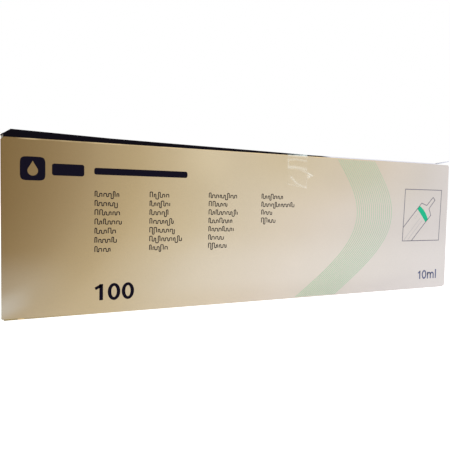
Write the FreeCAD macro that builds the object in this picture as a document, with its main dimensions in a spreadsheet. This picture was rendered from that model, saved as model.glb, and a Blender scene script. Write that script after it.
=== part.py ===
import FreeCAD, Part
import math
import os

import Sketcher

# A taped-shut folding carton with a hinged lid, seen as it stands on a table.
# The row frame: X along the front from left to right, Y from the front panel to the back panel, Z up.
# The origin is the middle of the base. Millimetres.

SIZES = [
    ("length", 394, "outside length along the front"),
    ("depth", 150, "outside depth, front panel to back panel"),
    ("height", 118, "table to the front panel's cut top edge"),
    ("board", 0.8, "thickness of the carton board"),
    ("fold_inner", 0.2, "inside radius of a fold"),
    ("tuck_gap", 0.1, "gap between the front panel's inside and the tuck flap"),
    ("corner_fold", 1.0, "outside radius of the panels' upright folds"),
    ("base_fold", 0.6, "outside radius of the folds along the base"),
    ("dust_fold", 0.8, "outside radius of the folds from the end panels to the dust flaps"),
    ("front_corner", 1.6, "rounding of the front panel's two top corners"),
    ("flap_drop", 1.0, "how far the end dust flaps lie below the front panel's top edge"),
    ("dust_flap", 70, "length of an end dust flap"),
    ("tuck_left_gap", 1.7, "tuck flap's left end, in from the left end panel"),
    ("left_crease", 6, "start of the left ear's crease, in from the left end"),
    ("right_crease", 16, "start of the right ear's curl, in from the right end"),
    ("ear_depth", 30, "how far back from the front the ears are creased"),
    ("rise_left_tip", 1.4, "lid's top above the front panel's edge, at the left end"),
    ("rise_left", 5.4, "the same at the left crease"),
    ("rise_dust", 3.6, "the same at the left dust flap's free edge"),
    ("rise_tape_left", 1.6, "the same at the tape's left edge"),
    ("rise_tape_right", 1.2, "the same at the tape's right edge"),
    ("rise_right", 1.1, "the same from the right dust flap's free edge to the right crease"),
    ("rise_right_tip", 4.2, "the same at the right end"),
    ("rise_back", 1.1, "the same along the back fold"),
    ("base_setback", 1.5, "outer base flap's side edges, in from the end panels"),
    ("base_free_edge", 12, "outer base flap's free edge, in from the back panel"),
    ("seam_width", 0.4, "width of the glued corner's seam line"),
    ("seam_cut", 0.3, "depth of the glued corner's seam line"),
    ("crush_run", 5, "crushed corner's length along the base"),
    ("crush_rise", 2.2, "crushed corner's height on the front panel"),
    ("crush_back", 9, "crushed corner's length along the end panel"),
    ("tape_width", 19, "width of the tape"),
    ("tape_place", 211.5, "tape's left edge, from the left end panel"),
    ("tape_thick", 0.06, "thickness of the tape"),
    ("tape_line", 0.02, "adhesive between the tape and the board"),
    ("tape_down_left", 23.8, "tape's left edge, down the front panel"),
    ("tape_down_right", 26.7, "tape's right edge, down the front panel"),
    ("tape_back", 25, "length of tape on the lid, from the tuck fold"),
]

ROOT = 1.2          # how far a raised part starts inside the block below it
CLEAR = 0.5         # how far a cut starts outside the block
RUN_OUT = 0.02      # share of the crushed corner that is left where it ends


class Size:
    """A length with its value now and the expression that ties it to the sheet."""

    def __init__(self, value, text):
        self.value = float(value)
        self.text = text

    def __add__(self, other):
        other = as_size(other)
        return Size(self.value + other.value, f"({self.text} + {other.text})")

    def __sub__(self, other):
        other = as_size(other)
        return Size(self.value - other.value, f"({self.text} - {other.text})")

    def __mul__(self, other):
        other = as_size(other)
        return Size(self.value * other.value, f"({self.text} * {other.text})")

    def __truediv__(self, other):
        other = as_size(other)
        return Size(self.value / other.value, f"({self.text} / {other.text})")

    def __neg__(self):
        return Size(-self.value, f"(-1 * {self.text})")

    __radd__ = __add__
    __rmul__ = __mul__


def as_size(number):
    return number if isinstance(number, Size) else Size(number, repr(float(number)))


def driving_sheet(doc):
    """The spreadsheet of driving dimensions, and each of them as a Size."""
    sheet = doc.addObject("Spreadsheet::Sheet", "sizes")
    cells = {}
    for row, (alias, value, meaning) in enumerate(SIZES, start=1):
        sheet.set(f"A{row}", meaning)
        sheet.set(f"B{row}", str(value))
        sheet.setAlias(f"B{row}", alias)
        cells[alias] = Size(value, f"sizes.{alias}")
    doc.recompute()
    return cells


def new_body(doc, label):
    body = doc.addObject("PartDesign::Body", label)
    body.Label = label
    return body


def new_sketch(body, name, role, offset):
    """A sketch on one of the body's own origin planes, moved along that plane's normal."""
    plane = next(item for item in body.Origin.OriginFeatures if item.Role == role)
    sketch = body.newObject("Sketcher::SketchObject", name)
    sketch.AttachmentSupport = [(plane, "")]
    sketch.MapMode = "FlatFace"
    offset = as_size(offset)
    sketch.AttachmentOffset = FreeCAD.Placement(FreeCAD.Vector(0, 0, offset.value), FreeCAD.Rotation())
    sketch.setExpression("AttachmentOffset.Base.z", offset.text)
    return sketch


def fix_distance(sketch, kind, arguments, size, name):
    """A named dimension of the sketch, bound to the sheet."""
    index = sketch.addConstraint(Sketcher.Constraint(kind, *arguments, size.value))
    sketch.renameConstraint(index, name)
    sketch.setExpression(f"Constraints.{name}", size.text)


def short_arc(start, end, centre):
    """The arc of under half a turn between two points, and whether it ends (2) or starts (1) at the end."""
    arm = start - centre
    reach = end - centre
    forward = arm.cross(reach).z > 0
    first, last = (arm, reach) if forward else (reach, arm)
    begin = math.atan2(first.y, first.x)
    finish = begin + first.getAngle(last)
    circle = Part.Circle(centre, FreeCAD.Vector(0, 0, 1), arm.Length)
    return Part.ArcOfCircle(circle, begin, finish), 2 if forward else 1


def closed_outline(sketch, corners):
    """Draws a closed outline through corners (across, up) or (across, up, centre_across, centre_up).

    The long form is reached by an arc about that centre, and the short form by a straight line. Every
    corner's place and every arc's radius is a dimension bound to the sheet.
    """
    spots = [tuple(as_size(number) for number in corner) for corner in corners]
    points = [FreeCAD.Vector(spot[0].value, spot[1].value, 0) for spot in spots]
    ends = []
    for index, spot in enumerate(spots):
        curve, end = Part.LineSegment(points[index - 1], points[index]), 2
        if len(spot) == 4:
            centre = FreeCAD.Vector(spot[2].value, spot[3].value, 0)
            curve, end = short_arc(points[index - 1], points[index], centre)
        sketch.addGeometry(curve, False)
        ends.append(end)
    for index, end in enumerate(ends):
        following = (index + 1) % len(ends)
        joined = ("Coincident", index, end, following, 3 - ends[following])
        sketch.addConstraint(Sketcher.Constraint(*joined))
    for index, spot in enumerate(spots):
        fix_distance(sketch, "DistanceX", (-1, 1, index, ends[index]), spot[0], f"across_{index}")
        fix_distance(sketch, "DistanceY", (-1, 1, index, ends[index]), spot[1], f"up_{index}")
        if len(spot) == 4:
            arm = spot[0] - spot[2]
            rise = spot[1] - spot[3]
            radius = Size(math.hypot(arm.value, rise.value), f"sqrt({arm.text} ^ 2 + {rise.text} ^ 2)")
            fix_distance(sketch, "Radius", (index,), radius, f"radius_{index}")


def pad(body, name, sketch, length, backwards=False):
    feature = body.newObject("PartDesign::Pad", name)
    feature.Profile = sketch
    feature.Reversed = backwards
    feature.setExpression("Length", as_size(length).text)
    return feature


def pocket(body, name, sketch, length, backwards=False):
    feature = body.newObject("PartDesign::Pocket", name)
    feature.Profile = sketch
    feature.Reversed = backwards
    feature.setExpression("Length", as_size(length).text)
    return feature


def loft(body, name, kind, sketches):
    feature = body.newObject(f"PartDesign::{kind}", name)
    feature.Profile = (sketches[0], [""])
    feature.Sections = [(sketch, [""]) for sketch in sketches[1:]]
    feature.Ruled = True
    return feature


def fillet(body, name, radius, chosen):
    """Rounds the edges of the body's tip that the test picks out."""
    tip = body.Tip
    names = [f"Edge{number}" for number, edge in enumerate(tip.Shape.Edges, start=1) if chosen(edge)]
    feature = body.newObject("PartDesign::Fillet", name)
    feature.Base = (tip, names)
    feature.setExpression("Radius", radius.text)
    return feature


def edge_lies_at(x=None, y=None, z=None):
    """A test for straight edges whose two ends both lie at the given coordinates."""
    wanted = {"x": x, "y": y, "z": z}

    def test(edge):
        points = [vertex.Point for vertex in edge.Vertexes]
        if len(points) != 2 or edge.Curve.TypeId != "Part::GeomLine":
            return False
        return all(
            value is None or all(abs(getattr(point, axis) - value.value) < 1e-4 for point in points)
            for axis, value in wanted.items()
        )

    return test


# Places that the pieces share

def lid_heights(size):
    """The lid's stations along X, each with its top's height along the front fold."""
    left_end = -size["length"] / 2
    right_end = size["length"] / 2
    tape_left = left_end + size["tape_place"]
    top = size["height"]
    ear_slope = (size["rise_left"] - size["rise_left_tip"]) / size["left_crease"]
    return {
        "left_end": (left_end, top + size["rise_left_tip"]),
        "tuck_left": (
            left_end + size["tuck_left_gap"],
            top + size["rise_left_tip"] + ear_slope * size["tuck_left_gap"],
        ),
        "left_crease": (left_end + size["left_crease"], top + size["rise_left"]),
        "left_dust": (left_end + size["dust_flap"], top + size["rise_dust"]),
        "tape_left": (tape_left, top + size["rise_tape_left"]),
        "tape_right": (tape_left + size["tape_width"], top + size["rise_tape_right"]),
        "right_dust": (right_end - size["dust_flap"], top + size["rise_right"]),
        "right_crease": (right_end - size["right_crease"], top + size["rise_right"]),
        "right_end": (right_end, top + size["rise_right_tip"]),
    }


def lid_lines(size):
    """The Y places of the lid: tuck flap's face, start of the flat, end of the flat and back face."""
    fold = size["board"] + size["fold_inner"]
    face = -size["depth"] / 2 + size["board"] + size["tuck_gap"]
    back = size["depth"] / 2
    return face, face + fold, back - fold, back


def lid_top(size, front_top, across):
    """Height of the lid's top at a place between the front fold and the back fold."""
    _, flat_start, flat_end, _ = lid_lines(size)
    back_top = size["height"] + size["rise_back"]
    return front_top + (back_top - front_top) * (across - flat_start) / (flat_end - flat_start)


# The carton

def carton_block(body, size):
    """Panels and what they hold, up to the dust flaps: three folded corners and one glued corner."""
    right = size["length"] / 2
    left = -right
    back = size["depth"] / 2
    front = -back
    fold = size["corner_fold"]
    sketch = new_sketch(body, "footprint", "XY_Plane", 0)
    closed_outline(sketch, [
        (left + fold, front, left + fold, front + fold),
        (right - fold, front),
        (right, front + fold, right - fold, front + fold),
        (right, back - fold),
        (right - fold, back, right - fold, back - fold),
        (left, back),
        (left, front + fold),
    ])
    pad(body, "block", sketch, size["height"] - size["flap_drop"])


def base_step(body, size):
    """The outer base flap hangs one board below the other panels' folds, short of three sides."""
    right = size["length"] / 2
    left = -right
    back = size["depth"] / 2
    front = -back
    side = size["base_setback"]
    free = size["base_free_edge"]
    sketch = new_sketch(body, "base_flap_outline", "XY_Plane", 0)
    closed_outline(sketch, [
        (left - CLEAR, front - CLEAR),
        (left + side, front - CLEAR),
        (left + side, back - free),
        (right - side, back - free),
        (right - side, front - CLEAR),
        (right + CLEAR, front - CLEAR),
        (right + CLEAR, back + CLEAR),
        (left - CLEAR, back + CLEAR),
    ])
    pocket(body, "base_step", sketch, size["board"], backwards=True)


def base_folds(body, size):
    """Rounds the folds at the front of the base, along the end panels and at the back of the base."""
    right = size["length"] / 2
    back = size["depth"] / 2
    under = size["board"]
    lines = [
        edge_lies_at(y=-back, z=as_size(0)),
        edge_lies_at(y=back, z=under),
        edge_lies_at(x=right, z=under),
        edge_lies_at(x=-right, z=under),
    ]
    fillet(body, "base_folds", size["base_fold"], lambda edge: any(line(edge) for line in lines))


def dust_folds(body, size):
    """Rounds the block's top, where the end panels turn into the dust flaps."""
    right = size["length"] / 2
    top = size["height"] - size["flap_drop"]
    lines = [edge_lies_at(x=right, z=top), edge_lies_at(x=-right, z=top)]
    fillet(body, "dust_folds", size["dust_fold"], lambda edge: any(line(edge) for line in lines))


def front_edge(body, size):
    """The front panel's cut top edge stands above the dust flaps, with two rounded corners."""
    right = size["length"] / 2 - size["corner_fold"]
    left = -right
    top = size["height"]
    low = top - size["flap_drop"] - ROOT
    round_off = size["front_corner"]
    sketch = new_sketch(body, "front_edge_outline", "XZ_Plane", size["depth"] / 2)
    closed_outline(sketch, [
        (left, low),
        (right, low),
        (right, top - round_off),
        (right - round_off, top, right - round_off, top - round_off),
        (left + round_off, top),
        (left, top - round_off, left + round_off, top - round_off),
    ])
    pad(body, "front_edge", sketch, size["board"], backwards=True)


def lid_section(body, size, name, place, front_top, ear_top, form):
    """One cross-section of the lid and its back fold.

    The form is open, where the front corner is free of the tuck flap, tucked, where the front fold and the
    tuck flap hang from it, or filled, between the free edges of the dust flaps.
    """
    board = size["board"]
    fold = board + size["fold_inner"]
    face, flat_start, flat_end, back = lid_lines(size)
    low = size["height"] - size["flap_drop"] - ROOT
    ear = face + size["ear_depth"]
    back_top = size["height"] + size["rise_back"]
    outside = [
        (flat_start, front_top, flat_start, front_top - fold),
        (ear, ear_top),
        (flat_end, back_top),
        (back, back_top - fold, flat_end, back_top - fold),
        (back, low),
    ]
    inside = [
        (back - board, low),
        (back - board, back_top - fold),
        (flat_end, back_top - board, flat_end, back_top - fold),
        (ear, ear_top - board),
    ]
    tuck = [
        (flat_start, front_top - board),
        (face + board, front_top - fold, flat_start, front_top - fold),
        (face + board, low),
        (face, low),
        (face, front_top - fold),
    ]
    outlines = {
        "open": [(face, front_top)] + outside[1:] + inside + [(face, front_top - board)],
        "tucked": outside + inside + tuck,
        "filled": outside + tuck[-2:],
    }
    sketch = new_sketch(body, name, "YZ_Plane", place)
    closed_outline(sketch, outlines[form])
    return sketch


LID_ZONES = [
    ("left_ear", "open", "left_end", "tuck_left"),
    ("left_crumple", "tucked", "tuck_left", "left_crease"),
    ("lifted_lid", "tucked", "left_crease", "left_dust"),
    ("lid_to_tape", "filled", "left_dust", "tape_left"),
    ("lid_at_tape", "filled", "tape_left", "tape_right"),
    ("lid_past_tape", "filled", "tape_right", "right_dust"),
    ("flat_lid", "tucked", "right_dust", "right_crease"),
    ("right_ear", "open", "right_crease", "right_end"),
]


def lid(body, size):
    """The lid, twisted and lifted at the left, as ruled lofts that meet end to end along X."""
    heights = lid_heights(size)
    ear = lid_lines(size)[0] + size["ear_depth"]
    unbent_tops = {
        "left_end": heights["left_crease"][1],
        "tuck_left": heights["left_crease"][1],
        "right_end": heights["right_crease"][1],
    }
    for zone, form, *stations in LID_ZONES:
        sketches = []
        for station in stations:
            place, front_top = heights[station]
            ear_top = lid_top(size, unbent_tops.get(station, front_top), ear)
            name = f"{zone}_at_{station}"
            sketches.append(lid_section(body, size, name, place, front_top, ear_top, form))
        loft(body, zone, "AdditiveLoft", sketches)


def seam_line(body, size):
    """The cut edge of the end panel's glue lap shows as a fine line on the back panel."""
    left = -size["length"] / 2
    start = left + size["board"]
    low = size["board"] + size["corner_fold"]
    high = size["height"] - size["flap_drop"]
    sketch = new_sketch(body, "seam_outline", "XZ_Plane", -size["depth"] / 2)
    closed_outline(sketch, [
        (start, low),
        (start + size["seam_width"], low),
        (start + size["seam_width"], high),
        (start, high),
    ])
    pocket(body, "seam", sketch, size["seam_cut"], backwards=True)


def crushed_corner(body, size):
    """The right front corner of the base is knocked in, most at the front and running out along the end."""
    right = size["length"] / 2
    front = size["depth"] / 2
    under = as_size(-CLEAR)
    sketches = []
    for name, share, place in (("crush_front", 1, front), ("crush_inside", RUN_OUT, front - size["crush_back"])):
        sketch = new_sketch(body, name, "XZ_Plane", place)
        closed_outline(sketch, [
            (right - size["crush_run"] * share, under),
            (right + CLEAR, under),
            (right + CLEAR, size["crush_rise"] * share),
        ])
        sketches.append(sketch)
    loft(body, "crush", "SubtractiveLoft", sketches)


def make_carton(doc, size):
    body = new_body(doc, "carton")
    carton_block(body, size)
    doc.recompute()
    base_step(body, size)
    doc.recompute()
    base_folds(body, size)
    doc.recompute()
    dust_folds(body, size)
    doc.recompute()
    front_edge(body, size)
    doc.recompute()
    lid(body, size)
    doc.recompute()
    seam_line(body, size)
    crushed_corner(body, size)
    doc.recompute()
    return body


# The tape

def tape_section(body, size, name, station, down):
    """The strip's section: down the front panel, over the cut edge and the tuck fold, along the lid."""
    place, front_top = lid_heights(size)[station]
    flat_start = lid_lines(size)[1]
    front = -size["depth"] / 2
    fold = size["board"] + size["fold_inner"]
    centre_up = front_top - fold
    lean = math.sqrt(0.5)
    end = flat_start + size["tape_back"]
    low = size["height"] - down
    inside = size["tape_line"]
    outside = inside + size["tape_thick"]

    def skin(gap):
        reach = (fold + gap) * lean
        return [
            (front - gap, low),
            (front - gap, size["height"] + gap / 2),
            (flat_start - reach, centre_up + reach),
            (flat_start, front_top + gap, flat_start, centre_up),
            (end, lid_top(size, front_top, end) + gap),
        ]

    inner = skin(inside)
    outer = skin(outside)
    back_along_outer = [
        outer[4],
        outer[3][:2],
        outer[2] + (flat_start, centre_up),
        outer[1],
        outer[0],
    ]
    sketch = new_sketch(body, name, "YZ_Plane", place)
    closed_outline(sketch, inner + back_along_outer)
    return sketch


def make_tape(doc, size):
    body = new_body(doc, "tape")
    sketches = [
        tape_section(body, size, "tape_left_edge", "tape_left", size["tape_down_left"]),
        tape_section(body, size, "tape_right_edge", "tape_right", size["tape_down_right"]),
    ]
    loft(body, "strip", "AdditiveLoft", sketches)
    doc.recompute()
    return body


def check_document(doc, bodies):
    """Stops if an object failed or a sub-part has no valid single solid."""
    for item in doc.Objects:
        if {"Invalid", "Error"} & set(item.State):
            raise RuntimeError(f"{item.Label} failed: {item.State}")
    for body in bodies:
        shape = body.Shape
        if shape.isNull() or not shape.isValid() or len(shape.Solids) != 1:
            raise RuntimeError(f"{body.Label} is not one valid solid")


def main():
    doc = FreeCAD.newDocument("sealed_carton")
    size = driving_sheet(doc)
    bodies = [make_carton(doc, size), make_tape(doc, size)]
    check_document(doc, bodies)
    os.makedirs("parts", exist_ok=True)
    for body in bodies:
        body.Shape.exportStep(f"parts/{body.Label}.step")
        print(body.Label, round(body.Shape.Volume), "cubic mm", body.Shape.BoundBox)


main()
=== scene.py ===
import math

import bmesh
import bpy
from mathutils import Euler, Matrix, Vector, noise


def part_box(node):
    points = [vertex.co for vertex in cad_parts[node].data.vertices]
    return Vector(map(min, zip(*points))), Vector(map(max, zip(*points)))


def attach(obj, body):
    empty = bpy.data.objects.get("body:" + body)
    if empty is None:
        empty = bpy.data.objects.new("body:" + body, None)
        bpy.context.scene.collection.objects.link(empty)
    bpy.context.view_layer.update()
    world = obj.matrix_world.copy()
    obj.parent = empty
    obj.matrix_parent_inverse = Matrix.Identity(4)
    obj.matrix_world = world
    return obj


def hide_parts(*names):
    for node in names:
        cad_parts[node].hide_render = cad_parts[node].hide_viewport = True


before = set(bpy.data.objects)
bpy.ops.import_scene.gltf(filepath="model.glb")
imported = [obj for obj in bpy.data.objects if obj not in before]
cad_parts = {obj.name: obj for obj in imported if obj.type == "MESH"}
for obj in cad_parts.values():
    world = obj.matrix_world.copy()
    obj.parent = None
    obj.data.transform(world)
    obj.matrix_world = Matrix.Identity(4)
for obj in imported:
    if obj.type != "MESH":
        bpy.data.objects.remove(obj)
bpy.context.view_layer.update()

# Lengths on the object are written in millimetres and become metres with MM.
# On the front panel, u runs from its left end to the right and v runs up from the table.

MM = 0.001
BOX_LOW, BOX_HIGH = (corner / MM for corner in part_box("carton"))
LEFT = BOX_LOW.x
FRONT = BOX_LOW.y
LENGTH = BOX_HIGH.x - BOX_LOW.x
DEPTH = BOX_HIGH.y - BOX_LOW.y
PANEL_TOP = 118.0           # the front panel's cut top edge
DUST_TOP = 117.0            # top of the end dust flaps
BOARD = 0.8                 # thickness of the board
RIGHT_EAR = 16.0            # length of the lid's lifted ear at the right end

INK_PROUD = 0.04            # print stands this far off the board
INK_SUNK = 0.02             # and starts this far inside it


# Colours, as they look on screen

def linear(red, green, blue):
    """An opaque colour from three screen values of 0 to 255."""
    def channel(value):
        value /= 255
        return value / 12.92 if value <= 0.04045 else ((value + 0.055) / 1.055) ** 2.4
    return (channel(red), channel(green), channel(blue), 1)


NAVY = linear(11, 7, 23)
LID_NAVY = linear(8, 5, 13)
GREEN = linear(36, 186, 140)
PALE_GREEN = linear(158, 198, 164)
GREY_INK = linear(94, 102, 136)
LINE_INK = linear(118, 116, 128)
FAINT_INK = linear(186, 182, 182)


# Node helpers

def new_material(name, roughness, specular):
    """A material, its tree and its surface shader, with the values that are the same all over it."""
    material = bpy.data.materials.new(name)
    material.use_nodes = True
    tree = material.node_tree
    shader = tree.nodes["Principled BSDF"]
    shader.inputs["Roughness"].default_value = roughness
    shader.inputs["Specular IOR Level"].default_value = specular
    return material, tree, shader


def feed(tree, socket, value):
    """Sets a socket to a value, or joins it to another socket."""
    if isinstance(value, bpy.types.NodeSocket):
        tree.links.new(value, socket)
    else:
        socket.default_value = value


def calc(tree, operation, *values):
    node = tree.nodes.new("ShaderNodeMath")
    node.operation = operation
    for socket, value in zip(node.inputs, values):
        feed(tree, socket, value)
    return node.outputs[0]


def rise(tree, value, start, end):
    """0 where the value is at start and 1 at end, smooth between; end may be the smaller."""
    node = tree.nodes.new("ShaderNodeMapRange")
    node.interpolation_type = "SMOOTHSTEP"
    feed(tree, node.inputs["Value"], value)
    low, high = (0, 1) if start < end else (1, 0)
    node.inputs["From Min"].default_value = min(start, end)
    node.inputs["From Max"].default_value = max(start, end)
    node.inputs["To Min"].default_value = low
    node.inputs["To Max"].default_value = high
    return node.outputs["Result"]


def all_of(tree, *masks):
    result = masks[0]
    for mask in masks[1:]:
        result = calc(tree, "MULTIPLY", result, mask)
    return result


def any_of(tree, *masks):
    result = masks[0]
    for mask in masks[1:]:
        result = calc(tree, "MAXIMUM", result, mask)
    return result


def blend(tree, factor, below, above):
    node = tree.nodes.new("ShaderNodeMix")
    node.data_type = "RGBA"
    feed(tree, node.inputs[0], factor)
    feed(tree, node.inputs[6], below)
    feed(tree, node.inputs[7], above)
    return node.outputs[2]


def grain(tree, scale, detail):
    """Noise from 0 to 1 by place on the object; scale is in features per metre."""
    place = tree.nodes.new("ShaderNodeTexCoord")
    texture = tree.nodes.new("ShaderNodeTexNoise")
    texture.inputs["Scale"].default_value = scale
    texture.inputs["Detail"].default_value = detail
    tree.links.new(place.outputs["Object"], texture.inputs["Vector"])
    return texture.outputs["Fac"]


def bumps(tree, shader, height, strength, distance):
    """Bump from a height of 0 to 1; distance is what 1 stands for, in millimetres."""
    node = tree.nodes.new("ShaderNodeBump")
    node.inputs["Strength"].default_value = strength
    node.inputs["Distance"].default_value = distance * MM
    feed(tree, node.inputs["Height"], height)
    tree.links.new(node.outputs["Normal"], shader.inputs["Normal"])


def places(tree):
    """The point's u, depth behind the front and height in millimetres, and its true normal's three parts."""
    place = tree.nodes.new("ShaderNodeTexCoord")
    point = tree.nodes.new("ShaderNodeSeparateXYZ")
    tree.links.new(place.outputs["Object"], point.inputs[0])
    geometry = tree.nodes.new("ShaderNodeNewGeometry")
    normal = tree.nodes.new("ShaderNodeSeparateXYZ")
    tree.links.new(geometry.outputs["True Normal"], normal.inputs[0])
    across = calc(tree, "MULTIPLY_ADD", point.outputs["X"], 1 / MM, -LEFT)
    depth = calc(tree, "MULTIPLY_ADD", point.outputs["Y"], 1 / MM, -FRONT)
    height = calc(tree, "MULTIPLY", point.outputs["Z"], 1 / MM)
    return (across, depth, height), tuple(normal.outputs[axis] for axis in "XYZ")


# The carton's board

FADE = (                    # the fade, print with painted sheen in it: how far along it, and the colour there
    (-10, linear(126, 102, 64)),
    (45, linear(161, 139, 102)),
    (90, linear(188, 168, 131)),
    (150, linear(206, 191, 163)),
    (240, linear(215, 203, 187)),
    (320, linear(214, 206, 199)),
    (440, linear(214, 208, 208)),
)
NICK_PLACE = (9.6, 13.4)    # the board's edge is nicked along the foot of the panel, and a painted glint lies in the nick
FADE_START = -10            # how far along the fade the panel's top left corner is
FADE_LEAD = 72              # how much further along it the table is than the top edge, a painted reflection of the table
FADE_BEND = 2.2             # the power by which that lead grows toward the table
FADE_LAG = 70               # how much the fade falls behind in the upper right part
LOW_HIGHLIGHT = linear(238, 233, 226)        # painted highlight: what the fade lightens to in its lower part
SHEEN_STREAK = linear(232, 216, 182)      # a painted sheen streak near the top edge
LOW_LEFT_SHEEN = linear(204, 199, 188)      # painted sheen at the lower left corner
RAW_BOARD = linear(226, 221, 212)
EAR_BOARD_IN_LIGHT = linear(214, 217, 232)  # bare board at the lifted right ear, with the bluish light on it painted in
# the painted highlight on the lid's fold
FOLD_HIGHLIGHT = linear(232, 232, 241)
LINE_LIGHT = linear(232, 206, 160)  # the lit cut edge along the panel's top
FOOT_LINE = linear(152, 136, 88)
# the painted glint in the nick
NICK_GLINT = linear(228, 198, 142)
FOLD_HIGHLIGHT_FROM = 244           # the lid's fold carries a painted highlight from here to the right
PATCHES = {"glow": 0.25, "streak": 0.2, "broad": 0.22, "corner": 0.5, "shaded": 0.07}   # how strong each painted highlight, sheen and shade is
GOLD_METALLIC = 0.3
GOLD_ROUGHNESS = 0.34       # at its least
ROUGHNESS_SPREAD = 0.12     # how much its grain adds at most
LID_ROUGHNESS = 0.6
BARE_ROUGHNESS = 0.9


def fade_colour(tree, across, height):
    """The print, with painted sheen in it, runs from old gold to silver, to the right, and sooner the nearer
    it is to the table, where the lead is a painted reflection of the table.
    """
    # the lead toward the table is a painted reflection of the table in the gold
    lowness = calc(tree, "MAXIMUM", calc(tree, "MULTIPLY_ADD", height, -1 / PANEL_TOP, 1.0), 0.0)
    lead = calc(tree, "MULTIPLY", calc(tree, "POWER", lowness, FADE_BEND), FADE_LEAD)
    lag = all_of(tree, rise(tree, across, 140, 230), rise(tree, across, 470, 290),
                 rise(tree, height, 60, PANEL_TOP))
    along = calc(tree, "ADD", calc(tree, "ADD", across, lead), FADE_START)
    along = calc(tree, "SUBTRACT", along, calc(tree, "MULTIPLY", lag, FADE_LAG))
    first, last = FADE[0][0], FADE[-1][0]
    ramp = tree.nodes.new("ShaderNodeValToRGB")
    ramp.color_ramp.interpolation = "CARDINAL"
    elements = ramp.color_ramp.elements
    while len(elements) < len(FADE):
        elements.new(0.5)
    for element, (place, colour) in zip(elements, FADE):
        element.position = (place - first) / (last - first)
        element.color = colour
    share = calc(tree, "DIVIDE", calc(tree, "SUBTRACT", along, first), last - first)
    tree.links.new(share, ramp.inputs["Fac"])
    return ramp.outputs["Color"]


def gold_print(tree, across, height):
    """The fade with its painted glow, painted sheen streak, painted sheen at the lower left corner and shaded
    part, and a fine tooth all over.
    """
    colour = fade_colour(tree, across, height)
    # a painted highlight over the lower part of the panel
    above_foot = any_of(tree, rise(tree, height, 2, 20), rise(tree, across, 290, 390))
    glow = all_of(tree, rise(tree, height, 62, 28), rise(tree, across, 30, 200), above_foot)
    colour = blend(tree, calc(tree, "MULTIPLY", glow, PATCHES["glow"]), colour, LOW_HIGHLIGHT)
    # a painted sheen streak near the top edge
    streak = all_of(tree, rise(tree, across, 108, 140), rise(tree, across, 172, 144),
                    rise(tree, height, 84, 112))
    colour = blend(tree, calc(tree, "MULTIPLY", streak, PATCHES["streak"]), colour, SHEEN_STREAK)
    # painted sheen spread over the lower left part
    broad = all_of(tree, rise(tree, across, 64, 10), rise(tree, height, 48, 18))
    colour = blend(tree, calc(tree, "MULTIPLY", broad, PATCHES["broad"]), colour, LOW_LEFT_SHEEN)
    # painted sheen fanning up from the lower left corner
    slant = calc(tree, "MULTIPLY_ADD", across, -0.35, height)
    corner = all_of(tree, rise(tree, across, 23, 1), rise(tree, slant, 21, 8), rise(tree, slant, -2, 6))
    colour = blend(tree, calc(tree, "MULTIPLY", corner, PATCHES["corner"]), colour, LOW_LEFT_SHEEN)
    shade = tree.nodes.new("ShaderNodeHueSaturation")
    tree.links.new(colour, shade.inputs["Color"])
    cloud = calc(tree, "MULTIPLY_ADD", grain(tree, 14, 2), 0.08, 0.95)
    tooth = calc(tree, "MULTIPLY_ADD", grain(tree, 900, 2), 0.05, -0.025)
    shaded = all_of(tree, rise(tree, across, 200, 290), rise(tree, across, 410, 350),
                    rise(tree, height, 70, 108), PATCHES["shaded"])
    tree.links.new(calc(tree, "SUBTRACT", calc(tree, "ADD", cloud, tooth), shaded), shade.inputs["Value"])
    return shade.outputs["Color"]


def facing_front(tree, normal):
    """1 where the surface faces the front, by its true normal."""
    return rise(tree, normal[1], -0.6, -0.8)


def bare_board(tree, place, normal, lid):
    """Two masks of unprinted board: inner sides with cut edges, and the lifted ear at the right."""
    across, depth, height = place
    nx, ny, nz = normal
    middle = DEPTH / 2
    sideways = rise(tree, calc(tree, "ABSOLUTE", nx), 0.85, 0.95)
    under_lid = rise(tree, nz, -0.4, -0.6)
    inner_tuck = all_of(tree, rise(tree, ny, 0.5, 0.7), rise(tree, depth, middle, middle - 1))
    inner_back = all_of(tree, rise(tree, ny, -0.5, -0.7), rise(tree, depth, middle, middle + 1))
    lid_raw = all_of(tree, lid, any_of(tree, under_lid, inner_tuck, inner_back, sideways))
    cut_top = all_of(tree, rise(tree, nz, 0.7, 0.8), rise(tree, height, PANEL_TOP - 0.3, PANEL_TOP - 0.2),
                     rise(tree, depth, BOARD + 0.06, BOARD + 0.02))
    base_raw = all_of(tree, any_of(tree, sideways, rise(tree, ny, 0.8, 0.9)),
                      rise(tree, height, BOARD - 0.01, BOARD - 0.03))
    ear_from = LENGTH - RIGHT_EAR
    right_ear = all_of(tree, lid, rise(tree, across, ear_from - 0.1, ear_from + 0.1),
                       any_of(tree, facing_front(tree, normal), under_lid))
    return any_of(tree, lid_raw, cut_top, base_raw), right_ear


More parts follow.
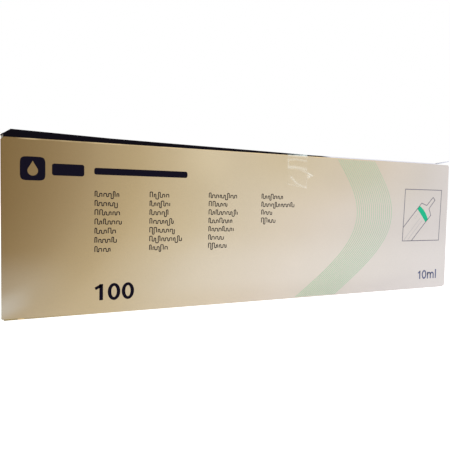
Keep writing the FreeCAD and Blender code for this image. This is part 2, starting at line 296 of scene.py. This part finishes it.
def edged_gold(tree, place, normal):
    """The gold print with the lit line along the panel's top, the line along its foot and a painted glint at
    the nick there.
    """
    across, _, height = place
    faces_front = facing_front(tree, normal)
    gold = gold_print(tree, across, height)

    patchy = rise(tree, grain(tree, 60, 3), 0.42, 0.62)
    below_edge = all_of(tree, rise(tree, height, PANEL_TOP - 0.95, PANEL_TOP - 0.55), faces_front)
    catches = all_of(tree, rise(tree, across, 8, 16), rise(tree, across, 330, 250))
    keen = calc(tree, "MULTIPLY_ADD", rise(tree, across, 110, 240), 0.4, 0.6)
    light_line = all_of(tree, below_edge, catches, keen, calc(tree, "MULTIPLY_ADD", patchy, 0.6, 0.3))
    gold = blend(tree, light_line, gold, LINE_LIGHT)

    nick_from, nick_to = NICK_PLACE
    at_foot = all_of(tree, rise(tree, height, 1.3, 0.6), faces_front)
    left_of_nick = all_of(tree, at_foot, rise(tree, across, nick_from + 0.3, nick_from))
    right_of_nick = all_of(tree, at_foot, rise(tree, across, 70, nick_to), 0.45)
    gold = blend(tree, any_of(tree, left_of_nick, right_of_nick), gold, FOOT_LINE)
    # a painted glint where the nick catches the light
    in_nick_glint = all_of(tree, rise(tree, across, nick_from, nick_from + 0.3), faces_front,
                     rise(tree, across, nick_to + 0.3, nick_to), rise(tree, height, 1.0, 0.5))
    return blend(tree, in_nick_glint, gold, NICK_GLINT)


def lid_print(tree, place, lid):
    """Navy, with a painted highlight along the tuck fold to the right of the tape."""
    across, depth, height = place
    # a painted highlight along the tuck fold, right of the tape
    at_fold = all_of(tree, rise(tree, depth, 2.2, 1.8), rise(tree, height, PANEL_TOP + 0.05, PANEL_TOP + 0.2))
    fold_highlight = all_of(tree, lid, at_fold, rise(tree, across, FOLD_HIGHLIGHT_FROM, FOLD_HIGHLIGHT_FROM + 12))
    return blend(tree, fold_highlight, LID_NAVY, FOLD_HIGHLIGHT)


def carton_material():
    """Gold print with painted sheen on the sides, navy with a painted highlight on the lid's fold, and bare
    board where the sheet shows its edge or inside, with painted light at the right ear.
    """
    material, tree, shader = new_material("printed_board", 0.4, 0.04)
    place, normal = places(tree)
    _, depth, height = place
    lid = all_of(tree, rise(tree, height, DUST_TOP + 0.3, DUST_TOP + 0.4),
                 rise(tree, depth, BOARD + 0.02, BOARD + 0.06))
    raw, right_ear = bare_board(tree, place, normal, lid)

    colour = blend(tree, lid, edged_gold(tree, place, normal), lid_print(tree, place, lid))
    colour = blend(tree, raw, colour, RAW_BOARD)
    # the lifted right ear: bare board with the bluish light on it painted in
    colour = blend(tree, right_ear, colour, EAR_BOARD_IN_LIGHT)
    feed(tree, shader.inputs["Base Color"], colour)

    bare = any_of(tree, raw, right_ear)
    printed = calc(tree, "SUBTRACT", 1.0, any_of(tree, bare, lid))
    feed(tree, shader.inputs["Metallic"], calc(tree, "MULTIPLY", printed, GOLD_METALLIC))
    rough = calc(tree, "MULTIPLY_ADD", grain(tree, 900, 3), ROUGHNESS_SPREAD, GOLD_ROUGHNESS)
    rough = calc(tree, "MAXIMUM", rough, calc(tree, "MULTIPLY", lid, LID_ROUGHNESS))
    rough = calc(tree, "MAXIMUM", rough, calc(tree, "MULTIPLY", bare, BARE_ROUGHNESS))
    feed(tree, shader.inputs["Roughness"], rough)
    bumps(tree, shader, grain(tree, 700, 4), 0.15, 0.03)
    return material


# Print on the front panel

RING_STEPS = 40
CORNER_STEPS = 4


def on_front(u, v, proud):
    return Vector(((LEFT + u) * MM, (FRONT - proud) * MM, v * MM))


def ribbon(mesh, one_side, other_side, closed=False):
    """A closed thin solid between two lines of equally many points; with closed, the lines are rings."""
    rows = []
    for proud in (INK_PROUD, -INK_SUNK):
        for line in (one_side, other_side):
            rows.append([mesh.verts.new(on_front(u, v, proud)) for u, v in line])
    front_one, front_other, rear_one, rear_other = rows
    count = len(one_side)
    for here in range(count if closed else count - 1):
        there = (here + 1) % count
        mesh.faces.new((front_one[here], front_one[there], front_other[there], front_other[here]))
        mesh.faces.new((rear_one[here], rear_other[here], rear_other[there], rear_one[there]))
        mesh.faces.new((front_one[here], rear_one[here], rear_one[there], front_one[there]))
        mesh.faces.new((front_other[here], front_other[there], rear_other[there], rear_other[here]))
    if not closed:
        for end in (0, -1):
            mesh.faces.new((front_one[end], front_other[end], rear_other[end], rear_one[end]))


def stroke(mesh, points, width, closed=False):
    """A line of even width through the points, mitred where it turns."""
    points = [Vector(point) for point in points]
    count = len(points)
    left, right = [], []
    for index, point in enumerate(points):
        before = point - points[index - 1] if closed or index > 0 else None
        after = points[(index + 1) % count] - point if closed or index < count - 1 else None
        first = (before or after).normalized()
        second = (after or before).normalized()
        middle = (first + second).normalized()
        normal = Vector((-middle.y, middle.x))
        reach = width / 2 / max(middle.dot(first), 0.3)
        left.append(point + normal * reach)
        right.append(point - normal * reach)
    ribbon(mesh, left, right, closed)


def arc(centre, radii, start, end, steps):
    """Points on an ellipse's arc, angles in degrees."""
    angles = (math.radians(start + (end - start) * step / steps) for step in range(steps + 1))
    return [(centre[0] + radii[0] * math.cos(a), centre[1] + radii[1] * math.sin(a)) for a in angles]


def oval_ring(mesh, left, right, low, high, side, crown):
    """A ring whose outer edge fills the box, as wide as given at its sides and at its crown and foot."""
    centre = ((left + right) / 2, (low + high) / 2)
    outer = ((right - left) / 2, (high - low) / 2)
    inner = (outer[0] - side, outer[1] - crown)
    rings = [arc(centre, radii, 0, 360, RING_STEPS)[:-1] for radii in (outer, inner)]
    ribbon(mesh, *rings, closed=True)


def bar(mesh, left, right, low, high, radius=0.0):
    """A filled rectangle with rounded corners."""
    corner = arc((left + radius, high - radius), (radius, radius), 180, 90, CORNER_STEPS)
    top = corner + [(left + right - u, v) for u, v in reversed(corner)]
    bottom = [(u, low + high - v) for u, v in top]
    ribbon(mesh, top, bottom)


def ink_material(name, colour):
    """Printing ink, with the board's fine tooth showing through it."""
    material, tree, shader = new_material(name, 0.5, 0.05)
    speckle = rise(tree, grain(tree, 2500, 2), 0.25, 0.75)
    lighter = tuple(channel * 1.2 for channel in colour[:3]) + (1,)
    feed(tree, shader.inputs["Base Color"], blend(tree, speckle, colour, lighter))
    bumps(tree, shader, grain(tree, 700, 4), 0.15, 0.02)
    return material


def finish_piece(mesh, name, material):
    """Makes a piece of the object from a finished mesh, riding on the carton."""
    bmesh.ops.recalc_face_normals(mesh, faces=mesh.faces)
    data = bpy.data.meshes.new(name)
    mesh.to_mesh(data)
    mesh.free()
    data.materials.append(material)
    piece = bpy.data.objects.new(name, data)
    bpy.context.scene.collection.objects.link(piece)
    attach(piece, "root")
    return piece


ICON = {"centre": (19.0, 98.6), "half": 7.7, "roundness": 5.5}
DROP = {"centre": (19.0, 97.2), "radius": 3.2, "tip": 6.4}


def icon(material):
    """A rounded square with a drop left open in it."""
    mesh = bmesh.new()
    square, drop = [], []
    steps = 96
    opening = math.acos(DROP["radius"] / DROP["tip"])
    for step in range(steps):
        angle = math.tau * step / steps
        cosine, sine = math.cos(angle), math.sin(angle)
        power = ICON["roundness"]
        reach = ICON["half"] / (abs(cosine) ** power + abs(sine) ** power) ** (1 / power)
        square.append((ICON["centre"][0] + reach * cosine, ICON["centre"][1] + reach * sine))
        off_tip = abs(math.remainder(angle - math.pi / 2, math.tau))
        reach = DROP["radius"] / math.cos(max(opening - off_tip, 0))
        drop.append((DROP["centre"][0] + reach * cosine, DROP["centre"][1] + reach * sine))
    ribbon(mesh, square, drop, closed=True)
    finish_piece(mesh, "icon", material)


HEADING_BARS = (                # left, right, low, high
    (30.8, 51.4, 94.6, 102.4),
    (58.0, 125.4, 96.2, 100.8),
)


def heading(material):
    mesh = bmesh.new()
    for left, right, low, high in HEADING_BARS:
        bar(mesh, left, right, low, high, radius=1.4)
    finish_piece(mesh, "heading_bars", material)


WORD_COLUMNS = (                # left edge, foot of the first word, and each word's length
    (58.6, 81.3, (16.4, 15.8, 16.6, 18.4, 15.2, 15.2, 11.4)),
    (97.2, 81.6, (14.8, 15.6, 14.4, 17.6, 19.4, 24.2, 13.4)),
    (143.1, 82.0, (24, 15.4, 23.8, 19.4, 21, 12, 15.2)),
    (188.4, 82.2, (20, 30.2, 10, 12)),
)
WORD_PITCH = 6.35
SCRIBBLE = {"height": 2.2, "corner": 0.5, "line": 0.62, "tall": 1.4, "deep": 1.3, "gap": 1.3}
SCRIBBLE_STEPS = (1.3, 1.8, 1.5, 1.2, 1.9)      # from one upright stroke to the next, in turn


def scribble(left, foot, length, variant):
    """Runs of upright strokes joined by rounded turns; some stand taller and some hang deeper."""
    corner = SCRIBBLE["corner"]
    runs = [[(left, foot)]]
    upright = 0
    while runs[-1][-1][0] < left + length - min(SCRIBBLE_STEPS):
        points = runs[-1]
        here = points[-1][0]
        there = here + SCRIBBLE_STEPS[(upright + variant) % len(SCRIBBLE_STEPS)]
        beat = (upright // 2 * 3 + variant) % 5
        if upright % 2:
            extra = SCRIBBLE["deep"] if beat == 4 else 0
            level = foot - extra + corner
            points += arc((here + corner, level), (corner, corner), 180, 270, 3)
            points += arc((there - corner, level), (corner, corner), 270, 360, 3)
        else:
            extra = SCRIBBLE["tall"] if upright == 0 or beat == 2 else 0
            level = foot + SCRIBBLE["height"] + extra - corner
            points += arc((here + corner, level), (corner, corner), 180, 90, 3)
            points += arc((there - corner, level), (corner, corner), 90, 0, 3)
            if (upright // 2 + variant) % 3 == 1:
                points.append((there, foot))
                runs.append([(there + SCRIBBLE["gap"], foot)])
                upright += 1
        upright += 1
    runs[-1].append((runs[-1][-1][0], foot if upright % 2 else foot + SCRIBBLE["height"]))
    return runs


def word_rows(material):
    """Each word of the small print is a scribble that spells nothing."""
    mesh = bmesh.new()
    for column, (left, first_foot, lengths) in enumerate(WORD_COLUMNS):
        for row, length in enumerate(lengths):
            foot = first_foot - row * WORD_PITCH
            for run in scribble(left, foot, length, column + 2 * row):
                stroke(mesh, run, SCRIBBLE["line"])
    finish_piece(mesh, "word_rows", material)


def digit_one(mesh, stem, foot, high, width, tip):
    """An upright with a flag; stem is its middle and tip is the flag's lower end."""
    bar(mesh, stem - width / 2, stem + width / 2, foot, high)
    stroke(mesh, [tip, (stem, high - 0.4 * width)], width * 0.8)


COUNT = {"line": 2.5, "crown": 2.05}
COUNT_ONE = {"stem": 63.0, "foot": 9.3, "high": 20.6, "tip": (58.9, 17.5)}
COUNT_ZEROS = {"lefts": (67.5, 77.3), "width": 8.8, "low": 8.9, "high": 20.9}


def count_number(material):
    """The plain number of pieces in the pack."""
    mesh = bmesh.new()
    digit_one(mesh, width=COUNT["line"], **COUNT_ONE)
    for left in COUNT_ZEROS["lefts"]:
        oval_ring(mesh, left, left + COUNT_ZEROS["width"], COUNT_ZEROS["low"], COUNT_ZEROS["high"],
                  COUNT["line"], COUNT["crown"])
    finish_piece(mesh, "count_number", material)


VOLUME = {"foot": 8.9, "line": 1.35}
VOLUME_ONE = {"stem": 360.8, "high": 16.8, "tip": (358.5, 14.4)}
VOLUME_ZERO = {"left": 363.3, "right": 369.1, "low": 8.8, "high": 17.2}
LETTER_M = {"left": 370.1, "arch": 1.85, "high": 15.2}
LETTER_L = {"left": 380.4, "high": 17.6}


def volume_mark(material):
    """The plain volume in millilitres."""
    mesh = bmesh.new()
    foot, width = VOLUME["foot"], VOLUME["line"]
    digit_one(mesh, foot=foot, width=width, **VOLUME_ONE)
    oval_ring(mesh, side=width, crown=width, **VOLUME_ZERO)
    stem = LETTER_M["left"] + width / 2
    arch = LETTER_M["arch"]
    bar(mesh, stem - width / 2, stem + width / 2, foot, LETTER_M["high"])
    for number in (0, 1):
        centre = (stem + arch * (1 + 2 * number), LETTER_M["high"] - arch - width / 2)
        turn = arc(centre, (arch, arch), 180, 0, 12)
        stroke(mesh, turn + [(turn[-1][0], foot)], width)
    bar(mesh, LETTER_L["left"], LETTER_L["left"] + width, foot, LETTER_L["high"])
    finish_piece(mesh, "volume_mark", material)


FRAME_BOX = {"left": 338.2, "right": 384.2, "low": 45.6, "high": 93.6, "line": 0.66}
FRAME_LEAN = 0.036              # the drawing's frame leans to the right by this much of its height
SYRINGE_TIP = {                 # on its own axis: forward of the ring's middle, and to its side
    "ring": (361.9, 71.0),
    "slope": 46.5,
    "barrel": 8.3,
    "barrel_end": 5.9,
    "shoulder": 8.7,
    "nozzle": 2.1,
    "taper": 0.85,
    "length": 19.8,
    "tilt": 0.8,
}
RING_EDGES = ((-2.6, 0.2), (1.45, 1.5))     # each edge of the ring: forward of its middle, and its bulge
RING_EDGE_STEPS = 12
PLUNGER = {"asides": (-0.3, -3.8), "from": -5.5, "line": 0.5, "stops_above": 1}
TICKS = {"first": -5.0, "pitch": 2.4, "count": 3, "asides": (5.2, 3.4)}


def pictogram(grey, faint, green):
    """A framed outline drawing of a barrel's end with its nozzle and a coloured ring."""
    mesh = bmesh.new()
    left, right, low, high, line = (FRAME_BOX[key] for key in ("left", "right", "low", "high", "line"))
    ring = Vector(SYRINGE_TIP["ring"])

    def leaning(u, v):
        return Vector((u + FRAME_LEAN * (v - ring.y), v))

    corners = [leaning(left, low), leaning(right, low), leaning(right, high), leaning(left, high)]
    stroke(mesh, corners, line, closed=True)

    slope = math.radians(SYRINGE_TIP["slope"])
    along = Vector((math.cos(slope), math.sin(slope)))
    across = Vector((-along.y, along.x))
    half, neck = SYRINGE_TIP["barrel"], SYRINGE_TIP["nozzle"]
    mouth = neck * SYRINGE_TIP["taper"]
    barrel_end, shoulder, length = (SYRINGE_TIP[key] for key in ("barrel_end", "shoulder", "length"))

    def spot(forward, aside):
        return ring + along * forward + across * aside

    upper = spot(0, half)
    lower = spot(0, -half)
    outline = [
        leaning(*(upper - along * ((upper.x - left) / along.x))),
        spot(barrel_end, half), spot(shoulder, neck), spot(length, mouth),
        spot(length, -mouth), spot(shoulder, -neck), spot(barrel_end, -half),
        leaning(*(lower - along * ((lower.y - low) / along.y))),
    ]
    stroke(mesh, outline, line)
    finish_piece(mesh, "pictogram_lines", grey)

    mesh = bmesh.new()
    for aside in PLUNGER["asides"]:
        end = spot(PLUNGER["from"], aside)
        stroke(mesh, [end - along * ((end.y - low - PLUNGER["stops_above"]) / along.y), end], PLUNGER["line"])
    for tick in range(TICKS["count"]):
        forward = TICKS["first"] - tick * TICKS["pitch"]
        stroke(mesh, [spot(forward, aside) for aside in TICKS["asides"]], PLUNGER["line"])
    finish_piece(mesh, "pictogram_plunger", faint)

    mesh = bmesh.new()
    edges = []
    shares = [step / RING_EDGE_STEPS * 2 - 1 for step in range(RING_EDGE_STEPS + 1)]
    for middle, bulge in RING_EDGES:
        line = []
        for share in shares:
            forward = middle + SYRINGE_TIP["tilt"] * share + bulge * (1 - share * share)
            line.append(spot(forward, half * share))
        edges.append(line)
    ribbon(mesh, *edges)
    finish_piece(mesh, "pictogram_ring", green)


BAND = {"lines": 18, "pitch": 2.3, "top": 262.0, "bottom": 222.0, "bulge": 40.0, "width": 0.46, "margin": 0.9}
BAND_STEPS = 48


def green_band(material):
    """Evenly spaced thin lines that run down the panel side by side, bowed to the right."""
    mesh = bmesh.new()
    tall = PANEL_TOP - 2 * BAND["margin"]
    for line in range(BAND["lines"]):
        points = []
        for step in range(BAND_STEPS + 1):
            share = step / BAND_STEPS
            base = BAND["bottom"] + (BAND["top"] - BAND["bottom"]) * share
            u = base + BAND["bulge"] * math.sin(math.pi * share) + line * BAND["pitch"]
            points.append((u, BAND["margin"] + tall * share))
        stroke(mesh, points, BAND["width"])
    finish_piece(mesh, "green_band", material)


# The clear tape

TAPE = {"left": 211.5, "width": 19.0, "down_left": 23.8, "down_right": 26.7, "back": 25.0}
FILM = 0.06                     # thickness of the film
FILM_GAP = 0.02                 # adhesive below it
FOLD = 1.0                      # outside radius of the lid's front fold
TUCK_FACE = 0.9                 # the tuck flap's face, behind the front panel's
LID_OVER_TAPE = (119.6, 119.2)  # the lid's height at the tape's left and right edges
LID_BACK = 119.1
LID_FLAT = 147.1                # from the front fold to the back fold
KINK = {                        # the right edge is pinched into a small point
    "at": 102.2,
    "reach": 6.8,
    "half": 3.0,
    "power": 12,                # the pinch falls off this fast to the left
}

# Creases and edges of the film: a line on the panel, its width, height and how strong its painted highlight
# is.
CREASES = (
    ((211.9, 113.8), (219.0, 114.9), 0.70, 0.03, 0.40),
    ((219.0, 114.9), (229.6, 113.9), 0.65, 0.03, 0.36),
    ((211.9, 108.3), (219.5, 108.2), 1.25, 0.05, 0.50),
    ((219.5, 108.2), (230.3, 106.9), 1.20, 0.05, 0.42),
    ((221.0, 107.0), (227.0, 105.6), 0.60, 0.03, 0.22),
    ((227.0, 105.6), (231.2, 103.8), 0.65, 0.04, 0.38),
    ((215.2, 100.2), (220.2, 95.4), 0.90, 0.06, 0.46),
    ((220.2, 95.4), (228.4, 92.0), 0.75, 0.05, 0.42),
    ((231.6, 103.9), (233.6, 103.1), 0.75, 0.10, 0.86),
    ((233.6, 103.1), (236.4, 101.4), 0.70, 0.10, 0.86),
    ((232.7, 101.4), (232.9, 100.8), 1.00, 0.08, 0.90),
    ((232.2, 100.4), (230.4, 92.4), 0.80, 0.04, 0.44),
    ((231.0, 104.0), (230.4, 92.4), 0.60, 0.03, 0.28),
    ((211.9, 115.0), (212.0, 107.6), 0.70, 0.03, 0.40),
    ((211.3, 93.8), (229.4, 91.0), 0.80, 0.04, 0.50),
    ((229.2, 91.7), (229.9, 91.3), 1.20, 0.06, 0.68),
)
CREASE_LIFT = 0.2               # share of those heights that is modelled
# the colour of the painted highlights on the film's creases and edges
CREASE_HIGHLIGHT = linear(247, 240, 224)
FILM_HAZE = 0.015               # how white the clean film is
LID_REFLECTION = 0.10                 # and how strong its painted reflection is on the dark lid
LID_SIDE_HIGHLIGHT = linear(226, 243, 240)      # the painted highlight, cooler where dark board lies under it
EDGE_GLOSS = {"reach": 0.9, "left": 0.7, "right": 0.8}     # painted gloss along the panel's top edge
GLINT = {                       # painted glint where the film bridges from the panel's edge to the lid
    "base": 0.04,
    "edge": 0.25,               # along the panel's edge, at the film's left side
    "edge_gain": 0.45,          # what that gains by its right side
    "edge_reach": 0.22,
    "right": 0.35,
    "right_patches": 0.6,
    "most": 0.9,
}
FILM_COLUMNS = 76               # steps across the strip
CROWDING = 1.5                  # the power that sets them closer together at the right
PANEL_ROWS = 100                # steps up the panel
BRIDGE_ROWS = 8                 # steps from the panel's edge to the lid's fold
FOLD_ROWS = 8                   # steps round the fold
LID_ROWS = 25                   # steps back over the lid


def distance_to_line(point, start, end):
    line = end - start
    share = max(0.0, min(1.0, (point - start).dot(line) / line.length_squared))
    return (point - start - line * share).length


def film_relief(u, v):
    """How far the film stands off the board, and how strong its painted highlight is, at a place on the
    panel.
    """
    point = Vector((u, v))
    lift = 0.0
    film_highlight = 0.0
    for start, end, width, height, painted_highlight in CREASES:
        near = math.exp(-(distance_to_line(point, Vector(start), Vector(end)) / width) ** 2)
        lift = max(lift, height * near)
        film_highlight = max(film_highlight, painted_highlight * near)
    rightward = (u - TAPE["left"]) / TAPE["width"]
    gloss = EDGE_GLOSS["left"] + (EDGE_GLOSS["right"] - EDGE_GLOSS["left"]) * rightward
    gloss *= math.exp(-((PANEL_TOP - v) / EDGE_GLOSS["reach"]) ** 2)
    return CREASE_LIFT * lift, max(film_highlight, gloss)


def film_glint(u, bridged):
    """How strong the film's painted glint is where it bridges from the panel's edge, at 0, to the lid's fold,
    at 1.
    """
    patch = max(0.0, 0.5 + noise.noise(Vector((u * 0.6, bridged * 3.0, 7.0))))
    rightward = (u - TAPE["left"]) / TAPE["width"]
    keen = GLINT["edge"] + GLINT["edge_gain"] * rightward
    edge_line = keen * math.exp(-(bridged / GLINT["edge_reach"]) ** 2)
    right_side = rightward ** 1.5 * (GLINT["right"] + GLINT["right_patches"] * patch)
    return min(GLINT["most"], GLINT["base"] + edge_line * (0.5 + patch) + right_side)


def film_path(share):
    """The film's rows at one place across it: how far back each is, its height and its outward direction."""
    down = TAPE["down_left"] + (TAPE["down_right"] - TAPE["down_left"]) * share
    top = LID_OVER_TAPE[0] + (LID_OVER_TAPE[1] - LID_OVER_TAPE[0]) * share
    rows = []
    for step in range(PANEL_ROWS + 1):
        rows.append((0.0, PANEL_TOP - down * (1 - step / PANEL_ROWS), (-1.0, 0.0)))
    centre = (TUCK_FACE + FOLD, top - FOLD)
    landing = (centre[0] - FOLD * math.sqrt(0.5), centre[1] + FOLD * math.sqrt(0.5))
    for step in range(1, BRIDGE_ROWS):
        bridged = step / BRIDGE_ROWS
        lean = math.radians(45 * bridged)
        depth, height = landing[0] * bridged, PANEL_TOP + (landing[1] - PANEL_TOP) * bridged
        rows.append((depth, height, (-math.cos(lean), math.sin(lean))))
    for step in range(FOLD_ROWS + 1):
        angle = math.radians(45 + 45 * step / FOLD_ROWS)
        outward = (-math.cos(angle), math.sin(angle))
        rows.append((centre[0] + FOLD * outward[0], centre[1] + FOLD * outward[1], outward))
    for step in range(1, LID_ROWS + 1):
        back = TAPE["back"] * step / LID_ROWS
        rows.append((centre[0] + back, top + (LID_BACK - top) * back / LID_FLAT, (0.0, 1.0)))
    return rows


def film_vertex(mesh, share, row, thickness):
    """One corner of the film's mesh and its painted highlight; share is how far across the strip it is."""
    depth, height, outward = row
    on_panel = depth == 0
    bridged = depth / (TUCK_FACE + FOLD * (1 - math.sqrt(0.5)))
    pinch = max(0.0, 1 - abs(height - KINK["at"]) / KINK["half"]) if on_panel else 0.0
    u = TAPE["left"] + TAPE["width"] * share + KINK["reach"] * pinch * share ** KINK["power"]
    if on_panel and height < PANEL_TOP:
        lift, film_highlight = film_relief(u, height)
    elif bridged <= 1.001:
        lift, film_highlight = 0.0, film_glint(u, bridged)
    else:
        lift, film_highlight = 0.0, LID_REFLECTION
    stand = FILM_GAP + thickness + lift
    place = Vector((LEFT + u, FRONT + depth + outward[0] * stand, height + outward[1] * stand))
    return mesh.verts.new(place * MM), film_highlight


def tape(material):
    """A strip of film with its creases, painted highlights on them and on its edges, and a pinched point at
    the right.
    """
    mesh = bmesh.new()
    painted_highlight = mesh.verts.layers.float.new("film_highlight")
    sheets = []
    for thickness in (FILM, 0.0):
        sheet = []
        for column in range(FILM_COLUMNS + 1):
            share = 1 - (1 - column / FILM_COLUMNS) ** CROWDING
            line = []
            for row in film_path(share):
                vertex, film_highlight = film_vertex(mesh, share, row, thickness)
                vertex[painted_highlight] = film_highlight if thickness else 0.0
                line.append(vertex)
            sheet.append(line)
        sheets.append(sheet)
    outer, inner = sheets
    rows = len(outer[0])
    for column in range(FILM_COLUMNS):
        for row in range(rows - 1):
            for sheet in sheets:
                near, far = sheet[column], sheet[column + 1]
                mesh.faces.new((near[row], far[row], far[row + 1], near[row + 1]))
        for row in (0, rows - 1):
            mesh.faces.new((outer[column][row], outer[column + 1][row],
                            inner[column + 1][row], inner[column][row]))
    for column in (0, FILM_COLUMNS):
        for row in range(rows - 1):
            mesh.faces.new((outer[column][row], outer[column][row + 1],
                            inner[column][row + 1], inner[column][row]))
    for face in mesh.faces:
        face.smooth = True
    piece = finish_piece(mesh, "clear_tape", material)
    piece.visible_shadow = False
    piece.visible_diffuse = False
    piece.visible_glossy = False
    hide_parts("tape")


def film_material():
    """Clear film, seen by painted highlights on its creases and edges and a little gloss."""
    material, tree, shader = new_material("clear_film", 0.15, 0.5)
    (_, _, height), _ = places(tree)
    over_edge = rise(tree, height, PANEL_TOP - 0.3, PANEL_TOP)
    colour = blend(tree, over_edge, CREASE_HIGHLIGHT, LID_SIDE_HIGHLIGHT)
    feed(tree, shader.inputs["Base Color"], colour)
    # the painted highlights are laid on as the film's alpha
    film_highlight = tree.nodes.new("ShaderNodeAttribute")
    film_highlight.attribute_name = "film_highlight"
    feed(tree, shader.inputs["Alpha"], calc(tree, "ADD", film_highlight.outputs["Fac"], FILM_HAZE))
    return material


# Stage, camera and lights
# The camera's place is in millimetres; the floor and the lamps are in metres.

CAMERA_PLACE = (-192.87, -411.42, 79.64)
CAMERA_TURN = (87.149, -1.001, -24.326)
FOCAL_PIXELS = 479.95
PICTURE = 450
SENSOR = 36
WORLD_LEVEL = 0.56              # the world's light on the object
FLOOR_REACH = 6.0
FLOOR_COLOUR = (0.85, 0.85, 0.85, 1)
FLOOR_LIGHT = 0.7               # the floor's own light, where it is seen
LAMPS = (                       # name, place, size and power; both aim at the carton's middle
    ("key", (-0.7, -1.5, 1.5), 1.2, 14),
    ("fill", (1.3, -1.1, 0.9), 1.0, 5.6),
)
LAMP_AIM = (0, 0, 0.06)


def make_camera():
    data = bpy.data.cameras.new("camera")
    data.sensor_fit = "HORIZONTAL"
    data.sensor_width = SENSOR
    data.lens = FOCAL_PIXELS * SENSOR / PICTURE
    data.clip_start = 0.01
    camera = bpy.data.objects.new("camera", data)
    camera.location = Vector(CAMERA_PLACE) * MM
    camera.rotation_euler = Euler([math.radians(angle) for angle in CAMERA_TURN], "XYZ")
    bpy.context.scene.collection.objects.link(camera)
    bpy.context.scene.camera = camera


def soft_light(name, place, size, power):
    data = bpy.data.lights.new(name, "AREA")
    data.shape = "SQUARE"
    data.size = size
    data.energy = power
    lamp = bpy.data.objects.new(name, data)
    lamp.location = place
    lamp.rotation_euler = (Vector(LAMP_AIM) - Vector(place)).to_track_quat("-Z", "Y").to_euler()
    bpy.context.scene.collection.objects.link(lamp)


def seen_rays(tree):
    """1 for rays that the camera sees directly, or in a glossy or clear surface."""
    rays = tree.nodes.new("ShaderNodeLightPath")
    return any_of(tree, *(rays.outputs[f"Is {kind} Ray"] for kind in ("Camera", "Glossy", "Transmission")))


def make_world(level):
    world = bpy.data.worlds.new("world")
    world.use_nodes = True
    tree = world.node_tree
    background = tree.nodes["Background"]
    background.inputs["Color"].default_value = (1, 1, 1, 1)
    strength = tree.nodes.new("ShaderNodeMix")
    feed(tree, strength.inputs[0], seen_rays(tree))
    strength.inputs[2].default_value = level
    strength.inputs[3].default_value = 1.0
    tree.links.new(strength.outputs[0], background.inputs["Strength"])
    bpy.context.scene.world = world


def make_floor(size, own_light):
    """A white floor; its own light, only where it is seen, keeps the shadow on it faint."""
    mesh = bmesh.new()
    bmesh.ops.create_grid(mesh, x_segments=1, y_segments=1, size=size)
    data = bpy.data.meshes.new("floor")
    mesh.to_mesh(data)
    mesh.free()
    material, tree, shader = new_material("floor", 0.9, 0.0)
    shader.inputs["Base Color"].default_value = FLOOR_COLOUR
    glow = tree.nodes.new("ShaderNodeEmission")
    feed(tree, glow.inputs["Strength"], calc(tree, "MULTIPLY", seen_rays(tree), own_light))
    both = tree.nodes.new("ShaderNodeAddShader")
    tree.links.new(shader.outputs[0], both.inputs[0])
    tree.links.new(glow.outputs[0], both.inputs[1])
    tree.links.new(both.outputs[0], tree.nodes["Material Output"].inputs["Surface"])
    data.materials.append(material)
    floor = bpy.data.objects.new("floor", data)
    bpy.context.scene.collection.objects.link(floor)


# Making everything

make_camera()
make_world(WORLD_LEVEL)
make_floor(FLOOR_REACH, FLOOR_LIGHT)
for lamp in LAMPS:
    soft_light(*lamp)

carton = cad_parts["carton"]
carton.data.materials.clear()
carton.data.materials.append(carton_material())

navy_ink = ink_material("navy_ink", NAVY)
grey_ink = ink_material("grey_ink", GREY_INK)
icon(navy_ink)
heading(navy_ink)
word_rows(navy_ink)
count_number(navy_ink)
volume_mark(grey_ink)
pictogram(ink_material("line_ink", LINE_INK), ink_material("faint_ink", FAINT_INK),
          ink_material("green_ink", GREEN))
green_band(ink_material("pale_green_ink", PALE_GREEN))
tape(film_material())

bpy.context.scene.view_settings.view_transform = "Standard"
